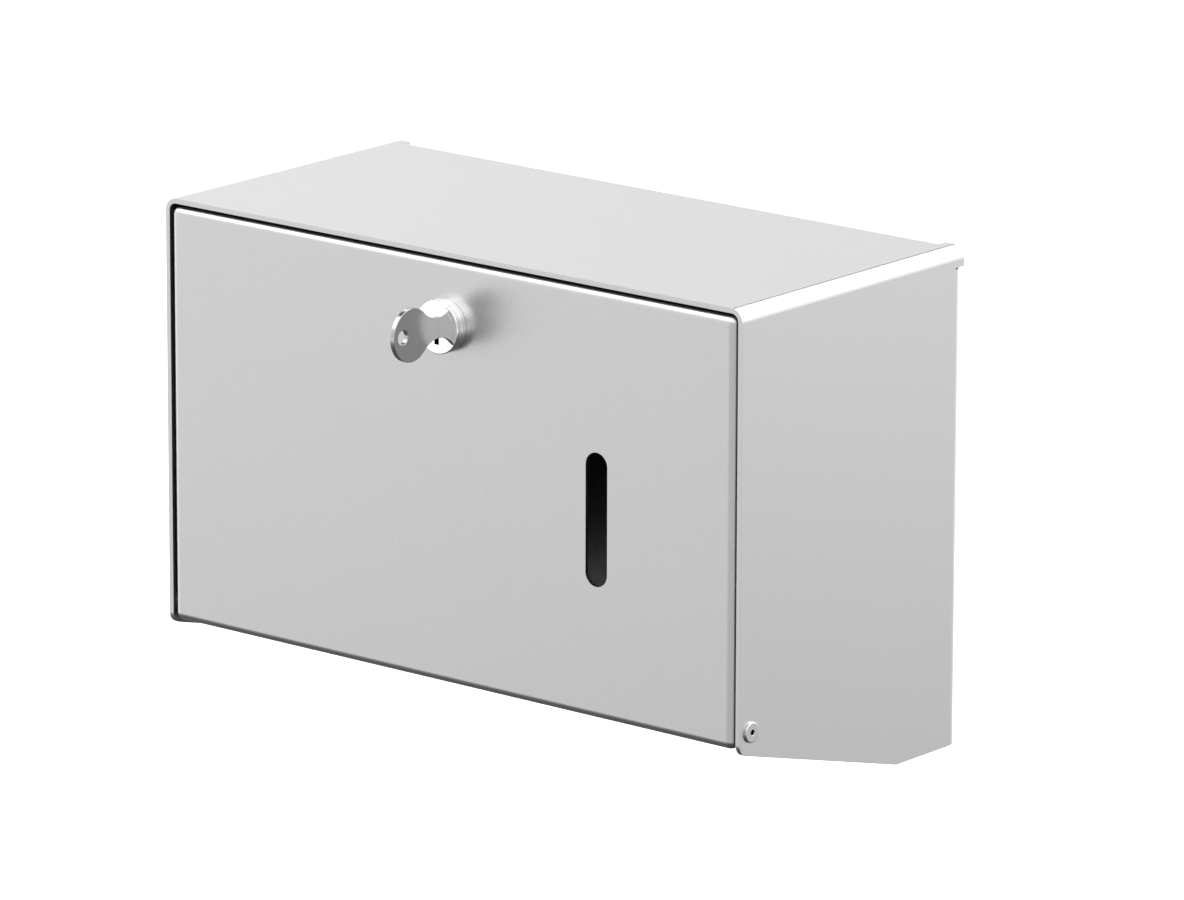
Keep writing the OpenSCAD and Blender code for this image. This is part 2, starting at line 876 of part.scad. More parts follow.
module lock_plug() {
    color(bright)
        difference() {
            union() {
                turned()
                    polygon([
                        [0, 0], [plug_head_r, 0], [plug_head_r, plug_head_l],
                        [plug_r, plug_head_l], [plug_r, barrel_end_y - lock_face_y],
                        [0, barrel_end_y - lock_face_y]
                    ]);
                translate([0, 0, lock_z]) {
                    block([-tail_w / 2, barrel_end_y - past, -tail_w / 2],
                          [tail_w / 2, tail_end_y, tail_w / 2]);
                    along_y(barrel_end_y - past, stud_end_y)
                        circle(stud_d / 2);
                }
            }
            translate([0, 0, lock_z]) {
                block([-keyhole_w / 2, lock_face_y - past, -keyhole_drop],
                      [keyhole_w / 2, lock_face_y + keyhole_l, neck_half + 2 * fit_gap]);
                block([-key_t / 2 - fit_gap, lock_face_y - past, -neck_half - fit_gap],
                      [key_t / 2 + fit_gap, keyway_end_y, neck_half + fit_gap]);
                for (y = wafer_y)
                    block([-wafer_w / 2 - fit_gap, y - fit_gap, -plug_d],
                          [wafer_w / 2 + fit_gap, y + wafer_t + fit_gap, plug_d]);
            }
        }
}

// Each wafer's window is as high as the key's blade at its cut, so that the key brings all
// wafers level with the plug
module lock_wafers() {
    color(brass)
        translate([0, 0, lock_z])
            for (i = [0:wafer_count - 1])
                difference() {
                    block([-wafer_w / 2, wafer_y[i], -wafer_h / 2],
                          [wafer_w / 2, wafer_y[i] + wafer_t, wafer_h / 2]);
                    block([-key_t / 2 - fit_gap, wafer_y[i] - past,
                           cut_depth[i] - neck_half - fit_gap],
                          [key_t / 2 + fit_gap, wafer_y[i] + wafer_t + past,
                           neck_half + fit_gap]);
                }
}

module lock_cam() {
    tip_r = 3;
    color(dark_steel)
        along_y(cam_front_y, cam_back_y)
            translate([0, lock_z])
                difference() {
                    union() {
                        circle(cam_hub_d / 2);
                        translate([-cam_l + tip_r, -cam_w / 2])
                            square([cam_l - tip_r, cam_w]);
                        translate([-cam_l, -cam_w / 2 + tip_r])
                            square([tip_r * 2, cam_w - 2 * tip_r]);
                        for (z = [-1, 1])
                            translate([-cam_l + tip_r, z * (cam_w / 2 - tip_r)])
                                circle(tip_r);
                    }
                    square(tail_w + 2 * fit_gap, center = true);
                }
}

module cam_washer() {
    rim = 1;
    color(bright)
        along_y(cam_back_y, cam_nut_y)
            translate([0, lock_z])
                difference() {
                    circle(cam_nut_flats / 2 / cos(30) + rim);
                    circle(stud_d / 2 + fit_gap);
                }
}

module cam_nut() {
    color(bright)
        hex_nut(cam_nut_flats, stud_d, cam_nut_y, cam_nut_y + cam_nut_l);
}

// The cuts in the lower edge of the blade, one under each wafer, and its pointed end
module key_cuts() {
    flat = wafer_t / 2 + cut_room;
    tip_y = lock_face_y + key_blade_l;
    over = 0.2;
    for (i = [0:wafer_count - 1])
        translate([wafer_y[i] + wafer_t / 2, -neck_half])
            polygon([
                [-flat, cut_depth[i]], [flat, cut_depth[i]],
                [flat + (cut_depth[i] + over) / 2, -over], [-flat - (cut_depth[i] + over) / 2, -over]
            ]);
    for (side = [-1, 1])
        translate([tip_y, side * neck_half])
            polygon([
                [over, over * side], [over, -(key_point + over) * side],
                [-key_point - over, over * side]
            ]);
}

module key() {
    overlap = 0.01;
    color(bright)
        translate([0, 0, lock_z])
            along_x(-key_t / 2, key_t / 2)
                difference() {
                    union() {
                        translate([bow_y, 0])
                            circle(key_bow_r);
                        difference() {
                            translate([bow_y, -neck_start_half])
                                square([key_reach, 2 * neck_start_half]);
                            for (z = [-1, 1])
                                translate([lock_face_y, z * (neck_half + neck_r)])
                                    circle(neck_r);
                        }
                        translate([lock_face_y - overlap, -neck_half])
                            square([key_blade_l + overlap, key_blade_h]);
                    }
                    key_cuts();
                    translate([bow_y - key_hole_out, 0])
                        circle(key_hole_d / 2);
                }
}

hood();
back_plate();
bottom_tray();
tray_rivets();
catch_bracket();
buffer_left();
buffer_right();
hinge_rivet_left();
hinge_rivet_right();
hinge_spacer_left();
hinge_spacer_right();
front_door();
lock_housing();
lock_washer();
lock_nut();
lock_plug();
lock_wafers();
lock_cam();
cam_washer();
cam_nut();
key();
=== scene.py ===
"""Dresses the paper towel dispenser: a folded stainless case with a hinged door, a cam lock
and its key. Lengths are metres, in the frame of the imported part: the wall is Y = 0, the
front faces -Y and Z is up."""

import json
import math

import bmesh
import bpy
from bpy.props import FloatProperty, FloatVectorProperty, PointerProperty
from bpy.types import Operator, Panel, PropertyGroup
from mathutils import Matrix, Vector


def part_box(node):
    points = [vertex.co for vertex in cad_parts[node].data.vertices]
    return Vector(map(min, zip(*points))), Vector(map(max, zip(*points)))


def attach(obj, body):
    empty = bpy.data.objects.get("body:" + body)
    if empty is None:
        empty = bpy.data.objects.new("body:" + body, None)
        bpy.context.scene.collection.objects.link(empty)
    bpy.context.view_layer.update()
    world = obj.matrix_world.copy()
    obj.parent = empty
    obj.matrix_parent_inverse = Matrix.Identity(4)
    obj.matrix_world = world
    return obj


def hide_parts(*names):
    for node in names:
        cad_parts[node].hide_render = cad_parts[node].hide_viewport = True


bl_info = {
    "name": "Paper Towel Dispenser",
    "version": (1, 0, 0),
    "blender": (4, 5, 0),
    "location": "View3D > Sidebar > Dispenser",
    "description": "Models and finishes a wall dispenser for folded paper towels",
    "category": "Object",
}

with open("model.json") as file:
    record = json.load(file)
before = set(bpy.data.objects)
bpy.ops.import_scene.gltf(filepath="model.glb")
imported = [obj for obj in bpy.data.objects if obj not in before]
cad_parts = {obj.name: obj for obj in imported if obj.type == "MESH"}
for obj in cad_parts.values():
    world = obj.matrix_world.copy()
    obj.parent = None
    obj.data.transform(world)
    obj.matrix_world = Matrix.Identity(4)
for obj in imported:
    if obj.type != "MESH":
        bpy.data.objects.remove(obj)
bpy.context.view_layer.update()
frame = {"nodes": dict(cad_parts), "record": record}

MM = 0.001
TINY = 1e-6

# Edges sharper than the first angle are rubbed round, faces that meet at less than the second
# are one flat face, and faces that meet at less than the third are shaded as one
SHARP_EDGE = math.radians(40)
FLAT_FACES = math.radians(0.2)
SMOOTH_FACES = math.radians(30)

# How much of a direction has to point along an axis, for a test to take it as along that axis
ALONG = 0.5

# The facets of a round shape, and how many there are of the parts that stand in rows
ROUND_STEPS = 64
TRAY_RIVETS = 4
BUFFER_GROOVES = 4
WAFERS = 5

# The width of the floor in metres, the width of the camera's sensor in millimetres, and how
# far the camera sees, in metres
FLOOR_SIZE = 60
SENSOR_WIDTH = 36
CAMERA_REACH = 100

# The studio's light at heights from straight down, -1, to straight up, 1, and then its share
# at bearings in degrees from the front, with the right side at 90
HEIGHT_LIGHT = ((-1.0, 0.08), (-0.75, 0.1), (-0.55, 0.18), (-0.42, 0.36), (-0.34, 0.62),
                (-0.23, 1.47), (-0.12, 1.0), (0.1, 1.0), (0.3, 1.05), (0.5, 2.3), (0.78, 1.95),
                (1.0, 1.7))
ROUND_LIGHT = ((-180, 1.1), (-142, 1.05), (-118, 1.75), (-85, 1.3), (-60, 1.26), (-38, 1.0),
               (-15, 0.82), (30, 0.8), (140, 0.71), (180, 1.1))

# Cards that stand round the dispenser: from one bearing to another, from one height to
# another, the softness of the upper and lower edges, and the card's own light. Two dark ones
# are behind on the left. A bright one is behind on the right, with a brighter one before it
CARDS = ((-135, -88, 0.6, 0.95, 0.05, 0.0), (-175, -120, 0.34, 0.46, 0.02, 0.1),
         (100, 200, -0.2, 0.8, 0.03, 1.4), (100, 200, 0.12, 0.8, 0.22, 3.4))

# The softness of the cards' left and right edges, and the light at the top of each ramp
CARD_EDGE = 0.06
BRIGHTEST = 4.0


def linear(hex_colour):
    """An sRGB hex colour, such as "c8c8c6", as linear red, green and blue."""
    channels = [int(hex_colour[i:i + 2], 16) / 255 for i in (0, 2, 4)]
    return [c / 12.92 if c <= 0.04045 else ((c + 0.055) / 1.055) ** 2.4 for c in channels]


def scaled(colour_value, factor):
    """A colour with each of its channels times a factor."""
    return [c * factor for c in colour_value]


def length(name, description, default, low=0.0):
    """A length that a user can change, in metres."""
    return FloatProperty(name=name, description=description, default=default, min=low,
                         unit="LENGTH", precision=5)


def colour(name, description, hex_colour):
    """A colour that a user can change."""
    return FloatVectorProperty(name=name, description=description, subtype="COLOR", size=3,
                               min=0.0, max=1.0, default=linear(hex_colour))


def turn(name, description, degrees):
    """An angle that a user can change."""
    return FloatProperty(name=name, description=description, default=math.radians(degrees),
                         unit="ROTATION", subtype="ANGLE")


class DispenserShape(PropertyGroup):
    """Sizes of the sheets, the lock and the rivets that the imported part's boxes don't give."""
    door_sheet: length("Door sheet", "Thickness of the door's sheet", 1.5 * MM, 0.5 * MM)
    door_edge: length("Door edge", "Outside radius of the door's edges and corners", 3.2 * MM)
    slot_width: length("Slot width", "Width of the sight slot", 10 * MM, 1 * MM)
    slot_height: length("Slot height", "Height of the sight slot over its ends", 50 * MM, 2 * MM)
    slot_side: length("Slot side", "Distance of the sight slot from the middle", 71.2 * MM)
    slot_up: length("Slot up", "Height of the sight slot over the wall screws", 1.8 * MM)
    edge_break: length("Edge break", "Radius rubbed onto the cut edges of the sheets", 0.15 * MM)
    small_edge: length("Small edge", "Radius rubbed onto the edges of nuts and washers", 0.12 * MM)
    pad_radius: length("Pad", "Radius of the pads round the wall screws", 10 * MM)
    pad_edge: length("Pad edge", "Radius of the rims of the pads", 0.8 * MM)
    screw_across: length("Screw across", "Distance of the wall screws from the middle", 90 * MM)
    screw_up: length("Screw up", "Height of the upper wall screws over the middle", 55 * MM)
    head_radius: length("Lock head", "Radius of the lock's head", 10 * MM, 1 * MM)
    head_depth: length("Lock head depth", "Height of the lock's head in front of the door", 5 * MM)
    head_edge: length("Lock head edge", "Radius of the edge of the lock's head", 0.4 * MM)
    head_groove: length("Lock head groove", "Depth of the fine groove round the head", 0.15 * MM)
    head_foot: length("Lock head foot", "Chamfer of the head where it meets the door", 0.2 * MM)
    seat_radius: length("Plug seat", "Radius of the seat of the plug's head", 8.05 * MM)
    seat_depth: length("Plug seat depth", "Depth of the seat of the plug's head", 1.55 * MM)
    seat_edge: length("Plug seat edge", "Chamfers where the plug and the head meet", 0.03 * MM)
    bore_radius: length("Plug bore", "Radius of the bore for the plug", 7.05 * MM)
    barrel_radius: length("Barrel", "Radius of the lock's threaded barrel", 9 * MM)
    barrel_flat: length("Barrel flat", "Distance of the barrel's flats from its middle", 8 * MM)
    thread_pitch: length("Thread pitch", "Pitch of the thread on the lock's barrel", 1 * MM)
    thread_depth: length("Thread depth", "Depth of the same thread", 0.55 * MM)
    stud_radius: length("Plug stud", "Radius of the threaded stud on the plug", 2.5 * MM)
    stud_pitch: length("Stud pitch", "Pitch of the thread on the plug's stud", 0.8 * MM)
    tail_half: length("Plug tail", "Half the width of the plug's square tail", 3 * MM)
    tail_gap: length("Tail gap", "Distance of the tail's end from the back of the cam", 0.3 * MM)
    keyway_half: length("Keyway", "Half the height of the keyway", 3.95 * MM)
    keyway_spare: length("Keyway spare", "Room behind the tip of the key", 0.5 * MM)
    window_half: length("Keyhole", "Half the width of the open end of the keyhole", 1.1 * MM)
    window_top: length("Keyhole top", "Distance of its upper end below the middle", 3 * MM)
    window_drop: length("Keyhole drop", "Distance of its lower end below the middle", 6.4 * MM)
    window_depth: length("Keyhole depth", "Depth of the open end of the keyhole", 2.6 * MM)
    wafer_thick: length("Wafer", "Thickness of the lock's wafers", 1 * MM)
    fit: length("Fit", "Clearance round the lock's barrel and the shanks of rivets", 0.05 * MM)
    hinge_play: length("Hinge play", "Clearance round the hinge rivets in the door", 0.06 * MM)
    rivet_radius: length("Hinge rivet", "Radius of the shank of the hinge rivets", 2 * MM)
    rivet_head: length("Hinge rivet head", "Radius of the heads of the hinge rivets", 3.85 * MM)
    rivet_rise: length("Hinge rivet rise", "Height of the heads of the hinge rivets", 1 * MM)
    rivet_hole: length("Hinge rivet hole", "Radius of the hole in the heads", 1.05 * MM)
    rivet_tail: length("Hinge rivet tail", "Radius of the swollen tails", 2.9 * MM)
    rivet_tail_length: length("Hinge rivet tail length", "Length of the same tails", 1.6 * MM)
    tray_rivet_radius: length("Tray rivet", "Radius of the shank of the tray's rivets", 1.6 * MM)
    tray_rivet_rise: length("Tray rivet rise", "Height of the heads of these rivets", 1 * MM)
    tray_rivet_tail_length: length("Tray rivet tail", "Length of their tails", 1.5 * MM)
    tray_rivet_out: length("Tray rivet place", "Distance of the outer rivets from the middle",
                           70 * MM)
    buffer_round: length("Buffer round", "Radius of the inner edges of the buffers", 1.5 * MM)
    groove_half: length("Buffer groove", "Depth and half the width of their grooves", 0.4 * MM)
    groove_pitch: length("Groove pitch", "From one groove to the next", 4 * MM)


class DispenserFinish(PropertyGroup):
    """Colours of the metals and plastics, and the size of their surface detail."""
    sheet_colour: colour("Stainless sheet", "Colour of the satin stainless sheet", "cbcbcb")
    # Partly the mill side's own duller grey, partly painted shade: it is darkened so the inside of
    # the case looks dark through the gap and the slot.
    mill_and_shade_colour: colour("Mill side", "Colour of the unfinished inner side of the sheets", "707070")
    grain: length("Grain", "Size of the satin grain on the sheets", 0.35 * MM)
    rolled: length("Rolled patches", "Size of the faint rolled patches on the sheets", 50 * MM)
    chrome_colour: colour("Chrome", "Colour of the polished head of the lock", "fafafa")
    key_colour: colour("Key", "Colour of the nickel plated key", "b8b8b8")
    rivet_colour: colour("Rivets", "Colour of the stainless rivets", "c9c9c8")
    zinc_colour: colour("Zinc plating", "Colour of the zinc plated lock parts", "bcc2c4")
    brass_colour: colour("Brass", "Colour of the wafers in the lock", "c9a85c")
    nylon_colour: colour("Nylon", "Colour of the spacer washers", "e6e3da")
    rubber_colour: colour("Rubber", "Colour of the door's buffers", "1a1a1b")


class DispenserStage(PropertyGroup):
    """The camera, the floor and the light."""
    azimuth: turn("Azimuth", "Direction of the camera round the dispenser", 39.509)
    elevation: turn("Elevation", "Height of the camera over the horizon", 14.7537)
    roll: turn("Roll", "Tilt of the camera round its own view", 0.1493)
    distance: length("Distance", "From the camera to the point it looks at", 3.15345)
    aim: FloatVectorProperty(name="Aim", description="The point that the camera looks at",
                             size=3, subtype="XYZ", unit="LENGTH",
                             default=(0.05252, -0.10985, 0.02067))
    lens: FloatProperty(name="Lens", description="Focal length in millimetres on a 36 mm sensor",
                        default=264.375, min=1.0)
    floor_drop: length("Floor", "Distance from the wall screws down to the floor", 0.6)
    floor_colour: colour("Floor", "Colour of the plain floor", "f7f7f6")


def add_node(tree, kind, inputs=None, **settings):
    """Adds a node. Its settings are set, and its inputs get a value or a link."""
    node = tree.nodes.new(kind)
    for name, value in settings.items():
        setattr(node, name, value)
    for name, value in (inputs or {}).items():
        socket = node.inputs[name]
        if isinstance(value, bpy.types.NodeSocket):
            tree.links.new(value, socket)
        else:
            socket.default_value = value
    return node


def start_material(name):
    """A new material with an empty node tree."""
    material = bpy.data.materials.new(name)
    material.use_nodes = True
    material.node_tree.nodes.clear()
    return material, material.node_tree


def blend(tree, pattern, first, second):
    """A colour between two, as the value of a pattern says."""
    mix = add_node(tree, "ShaderNodeMix", {
        "Factor": pattern, "A": (*first, 1), "B": (*second, 1)}, data_type="RGBA")
    return mix.outputs["Result"]


def end_metal(tree, shade, grain, rough_low, rough_high, bump_strength):
    """Ends the nodes of a metal. Its grain varies the roughness and stands out a little."""
    rough = add_node(tree, "ShaderNodeMapRange", {
        "Value": grain, "From Min": 0.3, "From Max": 0.7,
        "To Min": rough_low, "To Max": rough_high})
    bump = add_node(tree, "ShaderNodeBump", {
        "Strength": bump_strength, "Distance": 0.02 * MM, "Height": grain})
    surface = add_node(tree, "ShaderNodeBsdfPrincipled", {
        "Base Color": shade, "Metallic": 1.0,
        "Roughness": rough.outputs["Result"], "Normal": bump.outputs["Normal"]})
    add_node(tree, "ShaderNodeOutputMaterial", {"Surface": surface.outputs["BSDF"]})


def satin_sheet(name, finish, rough_low, rough_high):
    """Cold rolled stainless sheet with a fine even grain and faint rolled patches."""
    material, tree = start_material(name)
    place = add_node(tree, "ShaderNodeTexCoord").outputs["Object"]
    grain = add_node(tree, "ShaderNodeTexNoise", {
        "Vector": place, "Scale": 1 / finish.grain, "Detail": 2.0, "Roughness": 0.6})
    rolled = add_node(tree, "ShaderNodeTexNoise", {
        "Vector": place, "Scale": 1 / finish.rolled, "Detail": 3.0, "Roughness": 0.5})
    shade = blend(tree, rolled.outputs["Fac"], scaled(finish.sheet_colour, 0.985),
                  finish.sheet_colour)
    end_metal(tree, shade, grain.outputs["Fac"], rough_low, rough_high, bump_strength=0.12)
    return material


def satin_stainless(finish):
    """The sheet blasted to a satin. It spreads each reflection into a soft glow, so a flat
    face shades slowly and a bend shows one bright band."""
    return satin_sheet("satin_stainless", finish, rough_low=0.27, rough_high=0.35)


def pressed_bend(finish):
    """The same sheet where the press has rubbed the satin smoother on a bend, so the bright
    band there has a clear upper edge."""
    return satin_sheet("pressed_stainless_bend", finish, rough_low=0.13, rough_high=0.18)


def plain_metal(name, shade, dark_share, grain_size, rough_low, rough_high, bump_strength):
    """A metal whose grain varies its roughness, and its shade down to a share of it."""
    material, tree = start_material(name)
    place = add_node(tree, "ShaderNodeTexCoord").outputs["Object"]
    grain = add_node(tree, "ShaderNodeTexNoise", {
        "Vector": place, "Scale": 1 / grain_size, "Detail": 3.0, "Roughness": 0.55})
    mixed = blend(tree, grain.outputs["Fac"], scaled(shade, dark_share), shade)
    end_metal(tree, mixed, grain.outputs["Fac"], rough_low, rough_high, bump_strength)
    return material


def bright_chrome(finish):
    """Chrome plate on a buffed zinc casting. It mirrors the room, so the flat face is as
    white as the light in front of it and holds a clear mirror image of the key."""
    return plain_metal("bright_chrome", finish.chrome_colour, dark_share=0.99,
                       grain_size=2 * MM, rough_low=0.03, rough_high=0.05, bump_strength=0.01)


def nickel_key(finish):
    """Blanked steel with a nickel plate. It is smooth, so it mirrors softly."""
    return plain_metal("nickel_plated_steel", finish.key_colour, dark_share=0.96,
                       grain_size=0.8 * MM, rough_low=0.2, rough_high=0.26, bump_strength=0.04)


def rivet_steel(finish):
    """Drawn stainless, headed in a press: smooth, with a soft mirror."""
    return plain_metal("pressed_stainless", finish.rivet_colour, dark_share=0.95,
                       grain_size=0.5 * MM, rough_low=0.25, rough_high=0.31, bump_strength=0.04)


def mill_stainless_painted_shade(finish):
    """The inner side of the same sheet, left as it came from the mill: greyer and duller than
    the satin side, with faint cloudy patches. Its colour is darker still, as painted shade,
    so the inside of the case looks dark through the gap and the sight slot."""
    return plain_metal("mill_stainless_painted_shade", finish.mill_and_shade_colour, dark_share=0.9,
                       grain_size=6 * MM, rough_low=0.45, rough_high=0.55, bump_strength=0.05)


def keyway_painted_shade(finish):
    """The walls of the keyway and of the holes in the hinge rivets, painted nearly black as the
    shade deep inside them."""
    return plain_metal("painted_hole_shade", (0.008, 0.008, 0.008), dark_share=0.5,
                       grain_size=0.8 * MM, rough_low=0.6, rough_high=0.7, bump_strength=0.02)


def zinc_plate(finish):
    """Zinc plated steel, tumbled. It is a cold grey with a cloudy, half dull surface."""
    return plain_metal("zinc_plated_steel", finish.zinc_colour, dark_share=0.85,
                       grain_size=1.2 * MM, rough_low=0.28, rough_high=0.42, bump_strength=0.08)


def stamped_brass(finish):
    """Brass strip, stamped. It is yellow, with a fine rolled grain."""
    return plain_metal("stamped_brass", finish.brass_colour, dark_share=0.9,
                       grain_size=0.6 * MM, rough_low=0.22, rough_high=0.3, bump_strength=0.06)


def moulded_nylon(finish):
    """Moulded nylon. Light sinks into it a little, so it looks milky."""
    material, tree = start_material("moulded_nylon")
    place = add_node(tree, "ShaderNodeTexCoord").outputs["Object"]
    cloud = add_node(tree, "ShaderNodeTexNoise", {"Vector": place, "Scale": 1 / (2 * MM)})
    shade = blend(tree, cloud.outputs["Fac"], scaled(finish.nylon_colour, 0.94),
                  finish.nylon_colour)
    surface = add_node(tree, "ShaderNodeBsdfPrincipled", {
        "Base Color": shade, "Roughness": 0.45,
        "Subsurface Weight": 0.15, "Subsurface Scale": 0.5 * MM})
    add_node(tree, "ShaderNodeOutputMaterial", {"Surface": surface.outputs["BSDF"]})
    return material


def buffer_rubber(finish):
    """Moulded rubber, matt black with a fine pebble."""
    material, tree = start_material("moulded_rubber")
    place = add_node(tree, "ShaderNodeTexCoord").outputs["Object"]
    pebble = add_node(tree, "ShaderNodeTexVoronoi", {"Vector": place, "Scale": 1 / (0.6 * MM)})
    shade = blend(tree, pebble.outputs["Distance"], finish.rubber_colour,
                  scaled(finish.rubber_colour, 1.6))
    bump = add_node(tree, "ShaderNodeBump", {
        "Strength": 0.3, "Distance": 0.05 * MM, "Height": pebble.outputs["Distance"]})
    surface = add_node(tree, "ShaderNodeBsdfPrincipled", {
        "Base Color": shade, "Roughness": 0.75, "Normal": bump.outputs["Normal"]})
    add_node(tree, "ShaderNodeOutputMaterial", {"Surface": surface.outputs["BSDF"]})
    return material


# The mill side is darkened partly as painted shade, and the keyway finish is painted shade
FINISHES = {
    "satin_steel": satin_stainless, "rivet_steel": rivet_steel, "lock_chrome": bright_chrome,
    "zinc_steel": zinc_plate, "key_steel": nickel_key, "wafer_brass": stamped_brass,
    "spacer_nylon": moulded_nylon, "buffer_rubber": buffer_rubber,
    "mill_side_painted_shade": mill_stainless_painted_shade, "keyway": keyway_painted_shade, "bend": pressed_bend,
}
finishes_made = {}


def slot_of(node):
    """The record's material slot of a CAD node."""
    return next(row["material_slot"] for row in frame["record"]["subparts"]
                if row["node"] == node)


def finish_for(slot):
    """The material for a slot of the record, or for a second finish of some of its faces, made
    when it is first asked for."""
    if slot not in finishes_made:
        finishes_made[slot] = FINISHES[slot](bpy.context.scene.dispenser_finish)
    return finishes_made[slot]


def edit(piece):
    """Opens one piece in edit mode, with all of it selected."""
    bpy.ops.object.select_all(action="DESELECT")
    piece.select_set(True)
    bpy.context.view_layer.objects.active = piece
    bpy.ops.object.mode_set(mode="EDIT")
    bpy.ops.mesh.select_mode(type="VERT")
    bpy.ops.mesh.select_all(action="SELECT")


def leave_edit():
    """Goes back to object mode."""
    bpy.ops.object.mode_set(mode="OBJECT")


def choose_faces(piece, test):
    """Selects in edit mode the faces whose middle and normal pass a test."""
    bpy.ops.mesh.select_mode(type="FACE")
    bpy.ops.mesh.select_all(action="DESELECT")
    mesh = bmesh.from_edit_mesh(piece.data)
    for face in mesh.faces:
        if test(face.calc_center_median(), face.normal):
            face.select_set(True)
    bmesh.update_edit_mesh(piece.data)


def choose_edges(piece, test):
    """Selects in edit mode the edges whose middle and direction pass a test."""
    bpy.ops.mesh.select_mode(type="EDGE")
    bpy.ops.mesh.select_all(action="DESELECT")
    mesh = bmesh.from_edit_mesh(piece.data)
    for edge in mesh.edges:
        start, end = (vertex.co for vertex in edge.verts)
        if test((start + end) / 2, (end - start).normalized()):
            edge.select_set(True)
    bmesh.update_edit_mesh(piece.data)


def apply_place():
    """Moves the active piece's place, turn and size into its mesh."""
    bpy.ops.object.transform_apply(location=True, rotation=True, scale=True)


def add_block(name, low, high):
    """A block between two corners, to be shaped further."""
    low, high = Vector(low), Vector(high)
    bpy.ops.object.select_all(action="DESELECT")
    bpy.ops.mesh.primitive_cube_add(size=1, location=(low + high) / 2)
    piece = bpy.context.object
    piece.name = name
    piece.scale = high - low
    apply_place()
    return piece


def add_bar(name, start, end, radius):
    """A round bar from one point to another along X or Y, to be shaped further."""
    start, end = Vector(start), Vector(end)
    way = (end - start).to_track_quat("Z", "Y").to_euler()
    bpy.ops.object.select_all(action="DESELECT")
    bpy.ops.mesh.primitive_cylinder_add(vertices=ROUND_STEPS, radius=radius,
                                        depth=(end - start).length,
                                        location=(start + end) / 2, rotation=way)
    piece = bpy.context.object
    piece.name = name
    apply_place()
    return piece


def modify(piece, kind, **settings):
    """Adds a modifier to a piece and applies it."""
    bpy.context.view_layer.objects.active = piece
    modifier = piece.modifiers.new(kind.lower(), kind)
    for name, value in settings.items():
        setattr(modifier, name, value)
    bpy.ops.object.modifier_apply(modifier=modifier.name)


def cut(piece, cutter):
    """Cuts one shape out of a piece."""
    modify(piece, "BOOLEAN", object=cutter, operation="DIFFERENCE", solver="EXACT")
    bpy.data.objects.remove(cutter)


def flatten(piece, middle, half):
    """Cuts both sides of a piece flat, at a distance from a middle along X."""
    edit(piece)
    for side in (1, -1):
        bpy.ops.mesh.select_all(action="SELECT")
        bpy.ops.mesh.bisect(plane_co=(middle + side * half, 0, 0), plane_no=(side, 0, 0),
                            use_fill=True, clear_outer=True)
    leave_edit()


def break_edges(piece, radius, segments=2):
    """Rubs a small radius onto the sharp edges of a piece."""
    modify(piece, "BEVEL", width=radius, segments=segments, limit_method="ANGLE",
           angle_limit=SHARP_EDGE, use_clamp_overlap=False)


def lathe(name, profile, centre, axis, steps=ROUND_STEPS):
    """Turns a profile round an axis, as on a lathe. Each of its points is a radius and a place
    along the axis."""
    centre, axis, up = Vector(centre), Vector(axis), Vector((0, 0, 1))
    points = [centre + up * radius + axis * along for radius, along in profile]
    bpy.ops.object.select_all(action="DESELECT")
    bpy.ops.mesh.primitive_plane_add(size=MM, location=points[0])
    piece = bpy.context.object
    piece.name = name
    apply_place()
    edit(piece)
    bpy.ops.mesh.merge(type="CENTER")
    for before, after in zip(points, points[1:]):
        bpy.ops.mesh.extrude_region_move(TRANSFORM_OT_translate={"value": after - before})
    bpy.ops.mesh.select_all(action="SELECT")
    bpy.ops.mesh.spin(steps=steps, angle=math.tau, center=centre, axis=axis)
    bpy.ops.mesh.select_all(action="SELECT")
    bpy.ops.mesh.remove_doubles(threshold=TINY)
    bpy.ops.mesh.normals_make_consistent(inside=False)
    leave_edit()
    return piece


def arc(radius, along, size, start, end, steps=5):
    """Points on a round corner of a lathe profile, from one angle to another in degrees."""
    turns = [math.radians(start + (end - start) * i / steps) for i in range(steps + 1)]
    return [(radius + size * math.cos(a), along + size * math.sin(a)) for a in turns]


def copy_node(name, node):
    """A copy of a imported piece, with its loose triangles joined and flat faces made whole."""
    source = frame["nodes"][node]
    piece = bpy.data.objects.new(name, source.data.copy())
    bpy.context.collection.objects.link(piece)
    edit(piece)
    bpy.ops.mesh.customdata_custom_splitnormals_clear()
    bpy.ops.mesh.remove_doubles(threshold=TINY)
    bpy.ops.mesh.dissolve_limited(angle_limit=FLAT_FACES)
    leave_edit()
    return piece


def copy_turned(piece, name, centre):
    """A copy of a piece, turned half round about an upright line."""
    twin = bpy.data.objects.new(name, piece.data.copy())
    bpy.context.collection.objects.link(twin)
    edit(twin)
    bpy.ops.transform.rotate(value=math.pi, orient_axis="Z", center_override=centre)
    leave_edit()
    return twin


def paint_faces(piece, finish, test):
    """Gives a second finish to the faces whose middle and normal pass a test."""
    piece.data.materials.append(finish_for(finish))
    edit(piece)
    choose_faces(piece, test)
    piece.active_material_index = len(piece.data.materials) - 1
    bpy.ops.object.material_slot_assign()
    leave_edit()


def shaded_inner_side(node):
    """A test for faces on the mill side of a sheet of the case, behind the front edges, which get
    the mill finish darkened as painted shade. The wall plate's satin side faces the wall, and
    the tray's faces down."""
    low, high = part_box("hood")
    skin, front_edge = 1.9 * MM, 0.5 * MM

    def test(middle, normal):
        outside = (abs(middle.x) > high.x - skin or middle.z > high.z - skin
                   or middle.y > high.y - skin or (node == "back_plate" and normal.y > ALONG)
                   or (node == "bottom_tray" and normal.z < -0.3))
        return middle.y > low.y + front_edge and not outside
    return test


def on_bend(middle, normal):
    """A test for faces on the outside of the hood's two upper bends."""
    tilt = 0.02
    return normal.z > tilt and abs(normal.x) > tilt


